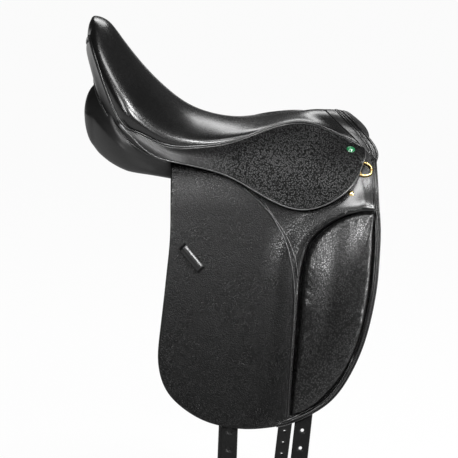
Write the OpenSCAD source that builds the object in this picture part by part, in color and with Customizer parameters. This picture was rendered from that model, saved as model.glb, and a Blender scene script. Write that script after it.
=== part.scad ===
// Dressage saddle with a moulded tree, flocked panels, lifting flaps and skirts, and hanging girth billets.
// X points to the horse's head, Y to its left, Z up.
// The origin is on the horse's spine, under the deepest part of the seat.

/* [Leather] */
// Thickness of the flap leather
flap_t = 4; // [3:0.1:4.6]
// Thickness of the skirt leather
skirt_t = 3.5; // [2.5:0.1:4.2]
// Thickness of the seat cover and the facings
cover_t = 2.2; // [1.6:0.1:2.8]
// Thickness of the sweat flap leather
sweat_t = 3; // [2:0.1:4]
// Clearance between layers that lie on each other
lay_gap = 0.4; // [0.3:0.05:0.6]
// Clearance between the tree and what lies on it or under it
tree_gap = 1.2; // [1:0.1:1.6]
// Gap where a flap's moving part meets its fixed head
bend_gap = 1.6; // [1.4:0.1:2.4]
// Gap where a skirt's lobe meets the fixed skirt
fold_gap = 0.9; // [0.7:0.1:1.5]

/* [Tree] */
// Wall of the moulded tree
tree_t = 8; // [6:0.5:9]
// Thickness of the steel head arch
arch_t = 5; // [3:0.5:6]
// Width of the steel head arch along the saddle
arch_w = 26; // [18:1:30]
// Radius of the rivets through the head arch
rivet_r = 3; // [2:0.25:4]
// Thickness of the seat webbing
web_t = 1.6; // [1:0.1:2]

/* [Flap] */
// Height of the line where the flap bends
bend_z = -38; // [-41:0.5:-36]
// Half width over the flaps at the bend line
bend_y = 148; // [144:0.5:154]
// Lean of the flap from the vertical, in degrees
flap_lean = 15.6; // [14:0.1:17]
// Outward bow of the flap below the bend
flap_bow = 5; // [2:0.5:8]
// Crown of the knee block
block_crown = 13; // [6:0.5:18]
// Thickness of the knee block at its edge
block_edge = 4; // [2:0.5:6]

/* [Keeper] */
// Length of the stirrup leather keeper
keeper_l = 46; // [38:1:54]
// Width of the keeper strap
keeper_w = 13; // [10:0.5:16]
// Thickness of the keeper strap
keeper_t = 2.4; // [1.6:0.1:3]
// Space under the keeper for the stirrup leather
keeper_space = 6; // [5:0.5:8]

/* [Billets] */
// Width of a billet
billet_w = 25; // [20:1:28]
// Thickness of a billet
billet_t = 4; // [3:0.25:4.5]
// Length of a billet below its stitching
billet_l = 640; // [600:5:660]
// Radius of a buckle hole
hole_r = 2.5; // [2:0.1:3]
// Distance between buckle holes
hole_pitch = 26.5; // [22:0.5:28]
// Number of buckle holes
hole_count = 11; // [8:1:12]

/* [Stirrup bar] */
// Length of the stirrup bar
bar_l = 80; // [70:1:86]
// Height of the bar
bar_h = 9; // [7:0.5:10]
// Thickness of the bar
bar_t = 8; // [7:0.5:9]
// Radius of the catch pin
pin_r = 1.5; // [1.2:0.1:1.8]
// Running clearance of pins in their holes
pin_gap = 0.05; // [0.03:0.01:0.08]
// Length of the hinged catch
catch_l = 20; // [16:1:22]

/* [Fittings] */
// Radius of the dee ring's bow at the middle of its wire
dee_r = 12; // [10:0.5:13]
// Radius of the dee ring's wire
dee_wire = 1.7; // [1.3:0.1:1.9]
// Radius of the saddle nail's head
nail_r = 7; // [5:0.5:8]
// Radius of the flap stud's head
stud_r = 5; // [3.5:0.5:6]

/* [Hidden] */
$fn = 48;
leather = [0.07, 0.07, 0.075];
lining = [0.1, 0.1, 0.1];
steel = [0.6, 0.6, 0.62];
brass = [0.72, 0.58, 0.28];

// Seat stations from the pommel to the back of the cantle, each the centre line, the roll and the seam
seat_rows = [
  [150, 92, 195, 62, 55, 202, 69, 46],
  [130, 92, 163, 52, 70, 170, 58, 62],
  [106, 88, 118, 45, 84, 126, 52, 79],
  [80, 83, 80, 50, 81, 82, 54, 79],
  [50, 78, 46, 66, 74, 44, 72, 70],
  [10, 78.5, 0, 84, 65, 0, 87, 57],
  [-30, 86, -46, 101, 62, -50, 102, 53],
  [-66, 101, -92, 121, 73, -96, 118, 59],
  [-100, 127, -132, 130, 100, -134, 126, 78],
  [-132, 160, -158, 122, 130, -163, 122, 97],
  [-162, 199, -183, 92, 178, -194, 90, 170],
  [-184, 228, -198, 55, 217, -209, 54, 208],
  [-203, 237, -205, 30, 233, -212, 30, 224],
  [-213, 230, -213.5, 16, 227, -215, 18, 221]];
seat_end = len(seat_rows) - 1;
// Share of a section's half that is crown, before the roll, and the roll's fullness
roll_at = 0.8;
roll_full = 0.55;
// Share of the half section that the foam fills, and its least thickness
foam_share = 0.7;
foam_least = 3;
// Tree rows from the rear: station, height on the centre line, height at the reference width, half width
tree_ref = 88;
tree_rows = [
  [-205, 216, 165, 34], [-190, 206, 157, 66], [-165, 176, 127, 96], [-130, 132, 100, 108], [-90, 87, 67, 104],
  [-50, 61, 49, 90], [-10, 53, 43, 80], [30, 55, 27, 86], [60, 61, 4, 92], [110, 73, 4, 92], [155, 79, 4, 92],
  [184, 80, 16, 84]];
tree_rear = tree_rows[0][0];
tree_front = tree_rows[len(tree_rows) - 1][0];
foam_gap = web_t + 3 * tree_gap;
flap_slope = tan(flap_lean);
// Flap outline below the bend line, as pairs of rear and front points with their depth
flap_rear = [[-87, 0], [-88, 40], [-92, 80], [-97, 125], [-103, 175], [-105, 210], [-98, 242], [-78, 270],
  [-40, 295], [0, 306]];
flap_front = [[223, 0], [224, 30], [222, 65], [218, 105], [209, 150], [195, 195], [172, 240], [140, 275],
  [95, 298], [62, 306]];
flap_hang = 3;
flap_drop = flap_rear[len(flap_rear) - 1][1] + flap_hang;
flap_len = flap_front[0][0] - flap_rear[0][0];
// Above the bend the flap draws in, more so towards its front
head_slope = 0.3;
head_curve = 0.0035;
head_front_slope = 0.43;
head_turn = [120, 222];
// Top edge of the flap's head, and its cut round the stirrup bar
head_top = 34;
bar_cut = -12;
bar_cut_rear = [10, 48];
bar_cut_front = [162, 200];
// Knee block outline, in the same way
block_rear = [[190, 3], [160, 11], [135, 27], [118, 50], [109, 80], [105, 115], [103, 150], [99, 190],
  [94, 230], [90, 270], [89, 292]];
block_front = [[214, 4], [217, 14], [217, 30], [216, 55], [214, 90], [211, 130], [205, 165], [193, 200],
  [172, 240], [135, 273], [100, 289]];
// Lower edge of the skirt, one point for each seat station
skirt_low = [[204, 102, 28], [193, 125, 9], [165, 150, -14], [108, 157, -33], [47, 150, -12], [0, 134, 13],
  [-50, 129, 27], [-100, 130, 40], [-136, 132, 58], [-164, 127, 91]];
// Straight line about which the skirt's lobe folds up, from front to rear
fold_front = [205, 93, 34];
fold_rear = [0, 131, 15];
fold_end = 5;
lobe_end = 4.7;
// Lower edge of the cantle facing, from its tail to the middle of the back
facing_low = [[-92, 130, 36], [-130, 131, 53], [-160, 122, 76], [-188, 99, 111], [-203, 60, 143],
  [-207, 0, 151]];
facing_start = 7.2;
// Front rim of the pommel facing, from its crest to its lower end
rim_front = [[178, 0, 89], [190, 32, 80], [208, 60, 61], [217, 70, 49], [222, 75, 40]];
// Panel stations from the rear: outer bulge, lower edge and height beside the channel
panel_rows = [
  [-205, 112, 98, 104, 56, 80], [-180, 124, 70, 112, 32, 60], [-150, 131, 46, 116, 18, 44],
  [-110, 112, 24, 102, 8, 32], [-60, 104, 12, 96, -2, 22], [0, 106, 4, 96, -10, 18],
  [60, 114, -20, 100, -38, 16], [110, 138.2, -58, 116, -72, 14], [160, 127, -62, 110, -80, 14],
  [195, 116, -40, 98, -64, 20]];
panel_inner = 30;
panel_rear = -219;
panel_front = 204;
panel_round = 16;
// Highest part of a panel, under the cantle facing, and its fall outside a half width
panel_cap = 140;
panel_cap_y = 50;
panel_cap_fall = 0.5;
panel_puff = 6;
// Billets: stitching height, places along the saddle and fore-and-aft lean
billet_layer = flap_t + 2;
billet_top = bend_z + 4;
front_billet_x = 146;
rear_billet_x = 12;
front_lean = 6.5;
left_front_lean = 4.6;
rear_lean = 2;
sweat_layer = billet_layer + billet_t + 2;
// Stirrup bar: middle of the bar
bar_x = 108;
bar_y = 108;
bar_z = 6;
plate_t = 3;
plate_h = 20;
ear_t = 2.3;
stem_l = 11;
stem_in = 2;
catch_t = bar_t - 2 * ear_t - 2 * lay_gap;
// Places of the small fittings
nail_at = 0.55;
nail_down = 0.45;
nail_h = 3;
stud_h = 3.5;
stud_x = 182;
stud_z = -13;
dee_x = 199;
dee_z = 18;
keeper_x = -55;
keeper_depth = 64;
keeper_turn = 49;

function mix(a, b, t) = a + (b - a) * t;
function unit(v) = v / norm(v);
function ease(a, b, x) = let(t = max(0, min(1, (x - a) / (b - a)))) t * t * (3 - 2 * t);
function knot(p, i) = p[max(0, min(len(p) - 1, i))];
// Smooth curve through a list of points, with t counted in points
function spline(p, t) =
  let(i = max(0, min(floor(t), len(p) - 2)), u = t - i,
    a = knot(p, i - 1), b = knot(p, i), c = knot(p, i + 1), d = knot(p, i + 2))
  0.5 * (2 * b + (c - a) * u + (2 * a - 5 * b + 4 * c - d) * u * u + (3 * b - a - 3 * c + d) * u * u * u);
// Index of a value in the first column of a rising table, as a fraction
function place(rows, x) =
  let(i = max([0, for (k = [0 : len(rows) - 2]) if (x >= rows[k][0]) k]))
  i + max(0, min(1, (x - rows[i][0]) / (rows[i + 1][0] - rows[i][0])));

// Grid shifted to its inner side, for rows running down and columns to the right as seen from outside
function inset(g, d) =
  let(m = len(g) - 1, n = len(g[0]) - 1)
  [for (i = [0 : m]) [for (j = [0 : n])
    let(c = g[i][min(j + 1, n)] - g[i][max(j - 1, 0)], r = g[min(i + 1, m)][j] - g[max(i - 1, 0)][j])
    g[i][j] + d * unit(cross(c, r))]];
function quad(a, b, c, d) = [[a, b, c], [a, c, d]];

// Closed solid between an outer grid and an inner one
module slab(outer, inner) {
  m = len(outer);
  n = len(outer[0]);
  k = m * n;
  points = concat([for (r = outer) each r], [for (r = inner) each r]);
  faces = concat(
    [for (i = [0 : m - 2], j = [0 : n - 2])
      each quad(i * n + j, i * n + j + 1, (i + 1) * n + j + 1, (i + 1) * n + j)],
    [for (i = [0 : m - 2], j = [0 : n - 2])
      each quad(k + i * n + j, k + (i + 1) * n + j, k + (i + 1) * n + j + 1, k + i * n + j + 1)],
    [for (j = [0 : n - 2]) each quad(j + 1, j, k + j, k + j + 1)],
    [for (j = [0 : n - 2]) let(e = (m - 1) * n) each quad(e + j, e + j + 1, k + e + j + 1, k + e + j)],
    [for (i = [0 : m - 2]) each quad(i * n, (i + 1) * n, k + (i + 1) * n, k + i * n)],
    [for (i = [0 : m - 2]) let(e = n - 1)
      each quad((i + 1) * n + e, i * n + e, k + i * n + e, k + (i + 1) * n + e)]);
  polyhedron(points, faces, convexity = 10);
}

module sheet(grid, t) {
  slab(grid, inset(grid, t));
}

// Closed solid through a row of rings of points, capped at both ends
module loft(rings) {
  m = len(rings);
  n = len(rings[0]);
  ends = [for (r = [rings[0], rings[m - 1]]) [for (a = [0 : 2]) [for (p = r) p[a]] * [for (p = r) 1 / n]]];
  points = concat([for (r = rings) each r], ends);
  faces = concat(
    [for (i = [0 : m - 2], j = [0 : n - 1])
      let(b = (j + 1) % n) each quad(i * n + j, i * n + b, (i + 1) * n + b, (i + 1) * n + j)],
    [for (j = [0 : n - 1]) [m * n, (j + 1) % n, j]],
    [for (j = [0 : n - 1]) let(e = (m - 1) * n) [m * n + 1, e + j, e + (j + 1) % n]]);
  polyhedron(points, faces, convexity = 10);
}

// Left pieces are drawn, right ones are mirrored
module on_side(side) {
  if (side > 0) children();
  else mirror([0, 1, 0]) children();
}

// Outer face of the seat: t runs from pommel to cantle, s from the left seam to the right one
function seat_crown(c, r, u) = [mix(c[0], r[0], u * u), r[1] * u, mix(c[2], r[2], u * u)];
function seat_roll(c, r, e, v) =
  let(d = unit([2 * (r[0] - c[0]), r[1], 2 * (r[2] - c[2])]), k = r + d * roll_full * norm(e - r))
  (1 - v) * (1 - v) * r + 2 * v * (1 - v) * k + v * v * e;
function seat_point(t, s) =
  let(k = spline(seat_rows, t), c = [k[0], 0, k[1]], r = [k[2], k[3], k[4]], e = [k[5], k[6], k[7]],
    a = abs(s), v = (a - roll_at) / (1 - roll_at),
    q = v <= 0 ? seat_crown(c, r, a / roll_at) : seat_roll(c, r, e, v))
  [q[0], s < 0 ? -q[1] : q[1], q[2]];
function seam(t) = let(k = spline(seat_rows, t)) [k[5], k[6], k[7]];
seat_cols = [1, 0.93, 0.86, 0.8, 0.7, 0.48, 0.24];
seat_s = concat(seat_cols, [0], [for (i = [len(seat_cols) - 1 : -1 : 0]) -seat_cols[i]]);
seat_steps = 24;
function seat_grid() =
  [for (i = [0 : seat_steps]) [for (s = seat_s) seat_point(i * seat_end / seat_steps, s)]];

// Upper face of the tree as a height over the plan
function tree_row(x) = spline(tree_rows, place(tree_rows, max(tree_rear, min(tree_front, x))));
function tree_z(x, y) = let(k = tree_row(x)) k[1] + (k[2] - k[1]) * pow(y / tree_ref, 2);
function tree_wall(x, y) =
  let(e = 2, a = (tree_z(x + e, y) - tree_z(x - e, y)) / (2 * e),
    b = (tree_z(x, y + e) - tree_z(x, y - e)) / (2 * e))
  tree_t * sqrt(1 + a * a + b * b);
function tree_under(x, y) = tree_z(x, y) - tree_wall(x, y);

module tree() {
  steps = 24;
  cols = 16;
  top = [for (i = [0 : steps]) let(x = mix(tree_front, tree_rear, i / steps), w = tree_row(x)[3])
    [for (j = [0 : cols]) let(y = w * (1 - 2 * j / cols)) [x, y, tree_z(x, y)]]];
  under = [for (r = top) [for (p = r) [p[0], p[1], tree_under(p[0], p[1])]]];
  color("saddlebrown") slab(top, under);
}

// The arch follows the tree to its edge, and its points go on down the horse's shoulder
arch_front = tree_front - 2;
arch_rear = arch_front - arch_w;
arch_edge = 95;
arch_foot = [124, bend_z + 2];
arch_share = 0.75;
function arch_face(x, v) =
  let(a = abs(v), y = arch_edge * min(1, a / arch_share), z = tree_under(x, y) - tree_gap,
    u = max(0, (a - arch_share) / (1 - arch_share)))
  [x, sign(v) * mix(y, arch_foot[0], u), mix(z, arch_foot[1], u)];

// Steel arch under the head of the tree, with a point down each side
module head_arch() {
  cols = 16;
  face = [for (i = [0 : 2]) [for (j = [0 : cols]) arch_face(arch_front - i * arch_w / 2, 1 - 2 * j / cols)]];
  color(steel) sheet(face, arch_t);
}

module arch_rivets() {
  y = 24;
  x = arch_front - arch_w / 2;
  proud = 1.5;
  color(steel) for (s = [-1, 1])
    translate([x, s * y, tree_under(x, y) - tree_gap - arch_t - proud])
      cylinder(r = rivet_r, h = proud + arch_t + tree_gap + 0.8 * tree_t);
}

module seat_web() {
  front = 130;
  rear = -150;
  w = 34;
  steps = 14;
  top = [for (i = [0 : steps]) let(x = mix(front, rear, i / steps))
    [for (j = [0 : 4]) let(y = w * (1 - j / 2)) [x, y, tree_z(x, y) + tree_gap + web_t]]];
  color("tan") slab(top, [for (r = top) [for (p = r) [p[0], p[1], p[2] - web_t]]]);
}

// Foam of the seat, crowned on top and lying on the webbing and the tree
module seat_foam() {
  skin = inset(seat_grid(), cover_t + lay_gap);
  mid = len(seat_cols);
  keep = [for (j = [0 : 2 * mid]) if (abs(seat_s[j]) <= foam_share) j];
  top = [for (i = [0 : seat_steps - 2]) [for (j = keep) skin[i][j]]];
  under = [for (r = top) [for (p = r) [p[0], p[1], min(tree_z(p[0], p[1]) + foam_gap, p[2] - foam_least)]]];
  color("khaki") slab(top, under);
}

module seat_cover() {
  color(leather) sheet(seat_grid(), cover_t);
}

module cantle_facing() {
  cols = 30;
  rows = 5;
  last = len(facing_low) - 1;
  drop = [0, 0, -0.7 * cover_t - 2 * lay_gap];
  bow = 2.5;
  face = [for (i = [0 : rows]) [for (j = [0 : cols])
    let(c = 1 - 2 * j / cols, a = 1 - abs(c), p = seam(mix(facing_start, seat_end, a)) + drop,
      q = mix(p, spline(facing_low, a * last), i / rows))
    [q[0] - bow * a * sin(180 * i / rows), sign(c) * q[1], q[2]]]];
  color(leather) sheet(face, cover_t);
}

module pommel_facing() {
  rows = 4;
  last = len(rim_front) - 1;
  step = [0.5, 0, 0.1];
  bow = 1.5;
  face = [for (i = [0 : rows]) [for (s = seat_s)
    let(a = abs(s), q = mix(seat_point(0, a) + step, spline(rim_front, a * last), i / rows))
    [q[0], -sign(s) * q[1], q[2] + bow * sin(180 * i / rows)]]];
  color(leather) sheet(face, cover_t);
}

module gullet_lining() {
  front = arch_rear - 4;
  rear = -182;
  w = panel_inner - 1;
  t = 1.6;
  steps = 24;
  top = [for (i = [0 : steps]) let(x = mix(front, rear, i / steps))
    [for (j = [0 : 4]) let(y = w * (1 - j / 2)) [x, y, tree_under(x, y) - 1.5 * tree_gap]]];
  color(lining) slab(top, [for (r = top) [for (p = r) [p[0], p[1], p[2] - t]]]);
}

// Upper face of a panel, under the tree and under the head arch
function panel_top(x, y) =
  min(tree_under(x, y) - tree_gap, panel_cap - panel_cap_fall * max(0, y - panel_cap_y))
  - (2.6 * arch_t + lay_gap) * ease(arch_rear - 14, arch_rear - 4, x);
function panel_ring(x) =
  let(k = spline(panel_rows, place(panel_rows, x)), w = min(tree_row(x)[3] + 2, k[1] - 10), i = panel_inner,
    top = [for (u = [0 : 0.25 : 1]) let(y = mix(i, w, u)) [x, y, panel_top(x, y)]],
    o = [x, k[1], k[2]], b = [x, k[3], k[4]], e = top[4],
    side = [for (u = [0.3, 0.6, 0.85]) mix(e, o, u) + [0, 2 * sin(180 * u), 0]],
    turn = [o, mix(o, b, 0.5) + [0, 3, -3], b],
    base = [for (u = [0.25, 0.5, 0.75])
      [x, mix(k[3], i + panel_puff, u), mix(k[4], k[5], u) - panel_puff * sin(180 * u)]],
    wall = [[x, i + 5, k[5] + 2], [x, i + 1, mix(k[5], top[0][2], 0.5)]])
  concat(top, side, turn, base, wall);
function mean(r) = [for (a = [0 : 2]) [for (p = r) p[a]] * [for (p = r) 1 / len(r)]];
// Ring of the panel, drawn in towards the rounded ends
function panel_end(x, end, start) = sqrt(max(0.06, 1 - pow((x - start) / (end - start), 2)));
function panel_loop(x) =
  let(rear = panel_rear + panel_round, front = panel_front - panel_round,
    r = panel_ring(max(rear, min(front, x))), m = mean(r),
    f = x < rear ? panel_end(x, panel_rear, rear) : x > front ? panel_end(x, panel_front, front) : 1)
  [for (p = r) [x, mix(m[1], p[1], f), mix(m[2], p[2], f)]];
panel_steps = 23;
end_shares = [0, 0.2, 0.5];
panel_cuts = concat([for (u = end_shares) panel_rear + u * panel_round],
  [for (i = [0 : panel_steps]) mix(panel_rear + panel_round, panel_front - panel_round, i / panel_steps)],
  [for (i = [2 : -1 : 0]) panel_front - end_shares[i] * panel_round]);

module panel(side) {
  color(leather) on_side(side) loft([for (x = panel_cuts) panel_loop(x)]);
}

// Outer face of the flap, as a half width over its side view
function flap_line(z) = bend_y + flap_slope * (bend_z - z);
function flap_y(x, z) =
  let(h = z - bend_z)
  h > 0 ? bend_y - h * (head_slope + head_curve * h + head_front_slope * ease(head_turn[0], head_turn[1], x))
    : flap_line(z) + flap_bow * sin(180 * min(1, -h / flap_drop));
function on_flap(p, out) = let(z = bend_z - p[1]) [p[0], flap_y(p[0], z) + out, z];
function ruled(front, rear, rows, cols, hang) =
  [for (i = [0 : rows]) let(t = i / rows * (len(front) - 1), f = spline(front, t), r = spline(rear, t))
    [for (j = [0 : cols]) let(u = j / cols)
      mix(f, r, u) + [0, hang * sin(180 * u) * pow(i / rows, 6)]]];

module flap(side) {
  rows = 20;
  cols = 12;
  cut = ruled(flap_front, flap_rear, rows, cols, flap_hang);
  face = [for (r = cut) [for (p = r) on_flap(p + [0, bend_gap * max(0, 1 - p[1] / flap_drop)], 0)]];
  color(leather) on_side(side) sheet(face, flap_t);
}

// Top of the flap that stays on the saddle, cut away round the stirrup bar
function flap_top(x) =
  let(rear = ease(bar_cut_rear[0], bar_cut_rear[1], x), front = ease(bar_cut_front[0], bar_cut_front[1], x))
  mix(head_top, bar_cut, rear * (1 - front));
module flap_head(side) {
  cols = 26;
  rows = 7;
  face = [for (i = [0 : rows]) [for (j = [0 : cols])
    let(x = mix(flap_front[0][0], flap_rear[0][0], j / cols), z = mix(flap_top(x), bend_z, i / rows))
    [x, flap_y(x, z), z]]];
  color(leather) on_side(side) sheet(face, flap_t);
}

module knee_block(side) {
  rows = 18;
  cols = 10;
  cut = ruled(block_front, block_rear, rows, cols, 0);
  top = [for (i = [0 : rows]) [for (j = [0 : cols])
    let(u = 2 * j / cols - 1, v = 2 * i / rows - 1,
      t = block_edge + block_crown * (1 - pow(u, 4)) * (1 - pow(v, 6)))
    on_flap(cut[i][j], lay_gap + t)]];
  color(leather) on_side(side) slab(top, [for (r = cut) [for (p = r) on_flap(p, lay_gap)]]);
}

// Strap loop on the flap that holds the end of the stirrup leather
module keeper(side) {
  z = bend_z - keeper_depth;
  rise = keeper_space + keeper_t;
  foot = 8;
  tilt = 2;
  half = keeper_l / 2;
  color(leather) on_side(side)
    translate([keeper_x, flap_y(keeper_x, z) + 2 * lay_gap, z]) rotate([flap_lean + tilt, 0, 0])
      rotate([0, keeper_turn, 0]) rotate([90, 0, 0]) translate([0, 0, -rise]) {
        translate([-half, -keeper_w / 2, 0]) cube([keeper_l, keeper_w, keeper_t]);
        for (s = [-1, 1])
          translate([s > 0 ? half - foot : -half, -keeper_w / 2, 0]) cube([foot, keeper_w, rise]);
      }
}

module sweat_flap(side) {
  top = 12;
  low = flap_drop - 10;
  front_inset = -2;
  rear_inset = 10;
  rows = 14;
  cols = 8;
  cut = ruled(flap_front, flap_rear, rows, cols, 0);
  face = [for (r = cut) [for (p = r)
    let(z = bend_z - mix(top, low, p[1] / flap_drop), u = (flap_front[0][0] - p[0]) / flap_len)
    [p[0] + mix(-front_inset, rear_inset, u), flap_line(z) - sweat_layer, z]]];
  color(leather) on_side(side) sheet(face, sweat_t);
}

// Skirt: t runs along the seat stations, from the front
function fold(t) = mix(fold_front, fold_rear, t / fold_end);
function skirt_edge(t) = t < fold_end ? fold(t) : spline(skirt_low, t);
skirt_lift = [0, 0.35 * skirt_t, -1.5];
skirt_puff = [0, 3, 3];
lobe_puff = [0, 6, 2];
// Stations between which the skirt's tail moves out over the panel
tail_out = [6.2, 7.2];

function skirt_face(t, v) =
  mix(seam(t) + skirt_lift, skirt_edge(t), v)
  + skirt_puff * sin(180 * v) * ease(0, 1.5, t) * (1 - ease(6, 9, t))
  + [0, skirt_t + 3 * lay_gap, 0] * ease(tail_out[0], tail_out[1], t);
module skirt(side) {
  cols = 30;
  rows = 4;
  last = len(skirt_low) - 1;
  face = [for (i = [0 : rows]) [for (j = [0 : cols]) skirt_face(j / cols * last, i / rows)]];
  color(leather) on_side(side) sheet(face, skirt_t);
}

module skirt_lobe(side) {
  cols = 20;
  rows = 5;
  face = [for (i = [0 : rows]) [for (j = [0 : cols])
    let(t = j / cols * lobe_end, v = i / rows, a = fold(t), b = spline(skirt_low, t),
      d = unit(b - a) * fold_gap)
    mix(a + d, b, v) + lobe_puff * sin(180 * v) * sin(180 * t / fold_end)]];
  color(leather) on_side(side) sheet(face, skirt_t);
}

// Domed head along Z, part of a sphere
module round_head(r, h) {
  ball = (r * r / h + h) / 2;
  rotate_extrude() intersection() {
    translate([0, h - ball]) circle(r = ball);
    square([r, h]);
  }
}

// Turns Z to a direction
module aim(d) {
  rotate([0, acos(d[2] / norm(d)), atan2(d[1], d[0])]) children();
}

module saddle_nails() {
  e = 0.1;
  across = skirt_face(nail_at, nail_down + e) - skirt_face(nail_at, nail_down - e);
  along = skirt_face(nail_at + e, nail_down) - skirt_face(nail_at - e, nail_down);
  out = unit(cross(across, along));
  at = skirt_face(nail_at, nail_down) + out * lay_gap;
  color("darkgreen") for (s = [1, -1]) on_side(s) translate(at) aim(out) round_head(nail_r, nail_h);
}

function flap_out(x, z) =
  let(e = 1, a = (flap_y(x + e, z) - flap_y(x - e, z)) / 2, b = (flap_y(x, z + e) - flap_y(x, z - e)) / 2)
  unit([-a, 1, -b]);

module flap_studs() {
  out = flap_out(stud_x, stud_z);
  color(brass) for (s = [1, -1]) on_side(s)
    translate([stud_x, flap_y(stud_x, stud_z), stud_z] + out * lay_gap) aim(out) round_head(stud_r, stud_h);
}

// Plate of the bar lies on the outside of the tree's wing
plate_y = tree_ref + 1;
plate_lean = 34;
plate_off = 1.2;
bar_front = bar_x + bar_l / 2;
bar_back = bar_x - bar_l / 2;
module stirrup_bar(side) {
  mid_z = tree_z(bar_x, plate_y);
  color(steel) on_side(side) difference() {
    union() {
      translate([bar_x, plate_y, mid_z]) rotate([plate_lean, 0, 0])
        translate([-bar_l / 2, plate_off, -plate_h / 2]) cube([bar_l, plate_t, plate_h]);
      translate([bar_front - stem_l, plate_y + stem_in, bar_z - bar_h / 2])
        cube([stem_l, bar_y + bar_t / 2 - plate_y - stem_in, bar_h]);
      translate([bar_back, bar_y - bar_t / 2, bar_z - bar_h / 2]) cube([bar_l, bar_t, bar_h]);
    }
    translate([bar_back - 1, bar_y - bar_t / 2 + ear_t, bar_z - bar_h])
      cube([bar_h + 4, bar_t - 2 * ear_t, 2 * bar_h]);
    translate([bar_back + bar_h / 2, bar_y - bar_t, bar_z]) rotate([-90, 0, 0])
      cylinder(r = pin_r + pin_gap, h = 2 * bar_t);
  }
}

module bar_catch(side) {
  color(steel) on_side(side) translate([bar_back + bar_h / 2, bar_y + catch_t / 2, bar_z]) rotate([90, 0, 0])
    difference() {
      linear_extrude(catch_t) union() {
        circle(d = bar_h - 1);
        translate([-catch_l, -bar_h / 2 + 0.5]) square([catch_l, bar_h - 1]);
        translate([-catch_l, 0]) circle(d = bar_h - 1);
      }
      translate([0, 0, -1]) cylinder(r = pin_r + pin_gap, h = catch_t + 2);
    }
}

module catch_pins() {
  color(steel) for (s = [1, -1]) on_side(s)
    translate([bar_back + bar_h / 2, bar_y - bar_t / 2, bar_z]) rotate([-90, 0, 0])
      cylinder(r = pin_r, h = bar_t);
}

module bar_rivets() {
  mid_z = tree_z(bar_x, plate_y);
  proud = 1.2;
  into_tree = 3.6;
  color(steel) for (s = [1, -1], d = [-0.3, 0.1]) on_side(s)
    translate([bar_x + d * bar_l, plate_y, mid_z]) rotate([plate_lean, 0, 0])
      translate([0, plate_off + plate_t + proud, 0]) rotate([90, 0, 0])
        cylinder(r = rivet_r, h = proud + plate_t + plate_off + into_tree);
}

// Webs that carry the billets, from the tree down behind their stitching
web_w = 26;
front_web = [[108, -8], [122, -20]];
rear_web = [[98, 29], [114, 8], [124, -16]];
function web_path(x, turns) =
  let(y = flap_line(bend_z) - billet_layer - billet_t - 3 * lay_gap, w = tree_row(x)[3])
  concat([[w + web_t + tree_gap, tree_z(x, w) - 0.6 * tree_t]], turns, [[y, bend_z], [y + 2, bend_z - 7]]);
module billet_web(x, turns) {
  path = web_path(x, turns);
  rows = 10;
  face = [for (i = [0 : rows]) let(p = spline(path, i / rows * (len(path) - 1)))
    [for (j = [0 : 1]) [x + web_w * (0.5 - j), p[0], p[1]]]];
  sheet(face, web_t);
}

module billet_webs(side) {
  color("dimgray") on_side(side) {
    billet_web(front_billet_x, front_web);
    billet_web(rear_billet_x, rear_web);
  }
}

// Girth strap in the plane behind the flap, drawn from its stitching downwards
module billet(side, x, lean) {
  end_gap = 45;
  stitched = 3;
  color(leather) on_side(side) translate([x, flap_line(billet_top) - billet_layer, billet_top])
    rotate([flap_lean, 0, 0]) rotate([90, 0, 0]) linear_extrude(billet_t) rotate(-lean)
      difference() {
        union() {
          translate([-billet_w / 2, -billet_l]) square([billet_w, billet_l + stitched]);
          translate([0, -billet_l]) circle(d = billet_w);
        }
        for (i = [0 : hole_count - 1])
          translate([0, -billet_l + end_gap + i * hole_pitch]) circle(r = hole_r);
      }
}

// Frame of the dee ring on the flap: its free side, its bar and the way out of the leather
dee_out = flap_out(dee_x + 8, dee_z - 2);
dee_slant = [-12, -26];
dee_bar = unit([dee_slant[0], -(dee_out[0] * dee_slant[0] + dee_out[2] * dee_slant[1]) / dee_out[1],
  dee_slant[1]]);
dee_free = cross(dee_bar, dee_out);
dee_rise = dee_wire + 1.2 * lay_gap;
dee_home = [dee_x, flap_y(dee_x, dee_z), dee_z] + dee_out * dee_rise;
dee_leg = 4;
chape_l = 11;
chape_t = 1.2;
chape_tail = 8;
chape_seat = 1.1;
module dee_frame() {
  multmatrix([for (i = [0 : 2]) [dee_free[i], dee_bar[i], dee_out[i], dee_home[i]]]) children();
}

module dee_ring(side) {
  color(brass) on_side(side) dee_frame() {
    translate([0, -dee_r, 0]) rotate([-90, 0, 0]) cylinder(r = dee_wire, h = 2 * dee_r);
    for (s = [-1, 1]) translate([0, s * dee_r, 0]) {
      sphere(r = dee_wire);
      rotate([0, 90, 0]) cylinder(r = dee_wire, h = dee_leg);
    }
    translate([dee_leg, 0, 0]) rotate([0, 0, -90]) rotate_extrude(angle = 180)
      translate([dee_r, 0]) circle(r = dee_wire);
  }
}

module dee_chape(side) {
  r = dee_wire + pin_gap;
  outer = r + chape_t;
  floor_z = chape_seat - dee_rise;
  color(leather) on_side(side) dee_frame() difference() {
    union() {
      translate([-chape_tail, -chape_l / 2, floor_z]) cube([chape_tail, chape_l, 2 * dee_wire]);
      translate([0, -chape_l / 2, 0]) rotate([-90, 0, 0]) cylinder(r = outer, h = chape_l);
    }
    translate([0, -chape_l, 0]) rotate([-90, 0, 0]) cylinder(r = r, h = 2 * chape_l);
    translate([-outer, -chape_l, floor_z - outer]) cube([2 * outer, 2 * chape_l, outer]);
  }
}

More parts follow.
